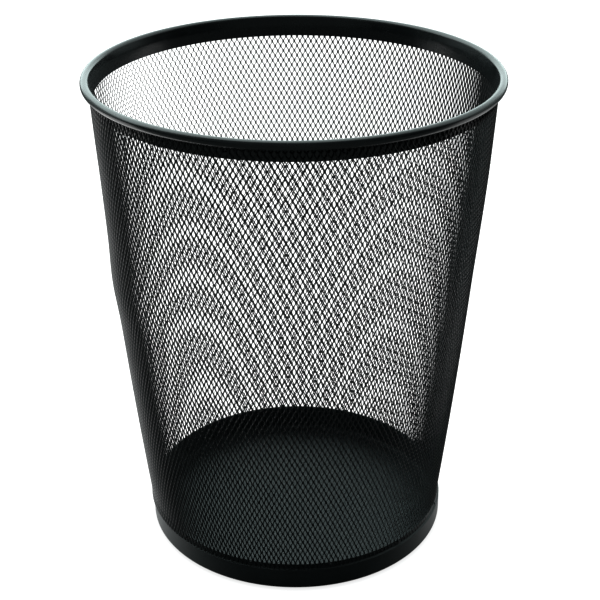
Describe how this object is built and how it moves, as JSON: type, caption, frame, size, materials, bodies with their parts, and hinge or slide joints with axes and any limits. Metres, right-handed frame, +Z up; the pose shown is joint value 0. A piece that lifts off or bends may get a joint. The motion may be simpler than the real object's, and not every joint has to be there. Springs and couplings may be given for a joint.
{
  "type": "wastebasket",
  "caption": "Round tapered office wastebasket: black expanded-metal mesh wall, rolled steel rim with a plain skirt, stamped solid floor pan.",
  "frame": {"origin": "centre of the underside of the floor pan, on the ground", "axes": "+Z up along the axis of the cone, +X to the pictured view's right, +Y away from the viewer"},
  "size_m": [0.295, 0.295, 0.36],
  "materials": {
    "mesh_black": "satin black powder coat on raised expanded steel mesh",
    "rim_black": "semi-gloss black powder coat on rolled sheet steel",
    "pan_black": "semi-gloss black powder coat on stamped sheet steel",
    "weld_black": "powder coat over a flattened spot weld"
  },
  "bodies": {
    "root": {"mesh_wall": "mesh_black", "rim_hoop": "rim_black", "floor_pan": "pan_black", "rim_spot_weld_01": "weld_black", "rim_spot_weld_02": "weld_black", "rim_spot_weld_03": "weld_black", "rim_spot_weld_04": "weld_black", "rim_spot_weld_05": "weld_black", "rim_spot_weld_06": "weld_black", "rim_spot_weld_07": "weld_black", "rim_spot_weld_08": "weld_black", "rim_spot_weld_09": "weld_black", "rim_spot_weld_10": "weld_black", "rim_spot_weld_11": "weld_black", "rim_spot_weld_12": "weld_black", "pan_spot_weld_01": "weld_black", "pan_spot_weld_02": "weld_black", "pan_spot_weld_03": "weld_black", "pan_spot_weld_04": "weld_black", "pan_spot_weld_05": "weld_black", "pan_spot_weld_06": "weld_black", "pan_spot_weld_07": "weld_black", "pan_spot_weld_08": "weld_black", "pan_spot_weld_09": "weld_black", "pan_spot_weld_10": "weld_black", "pan_spot_weld_11": "weld_black", "pan_spot_weld_12": "weld_black", "seam_spot_weld_01": "weld_black", "seam_spot_weld_02": "weld_black", "seam_spot_weld_03": "weld_black", "seam_spot_weld_04": "weld_black", "seam_spot_weld_05": "weld_black", "seam_spot_weld_06": "weld_black"}
  },
  "joints": []
}
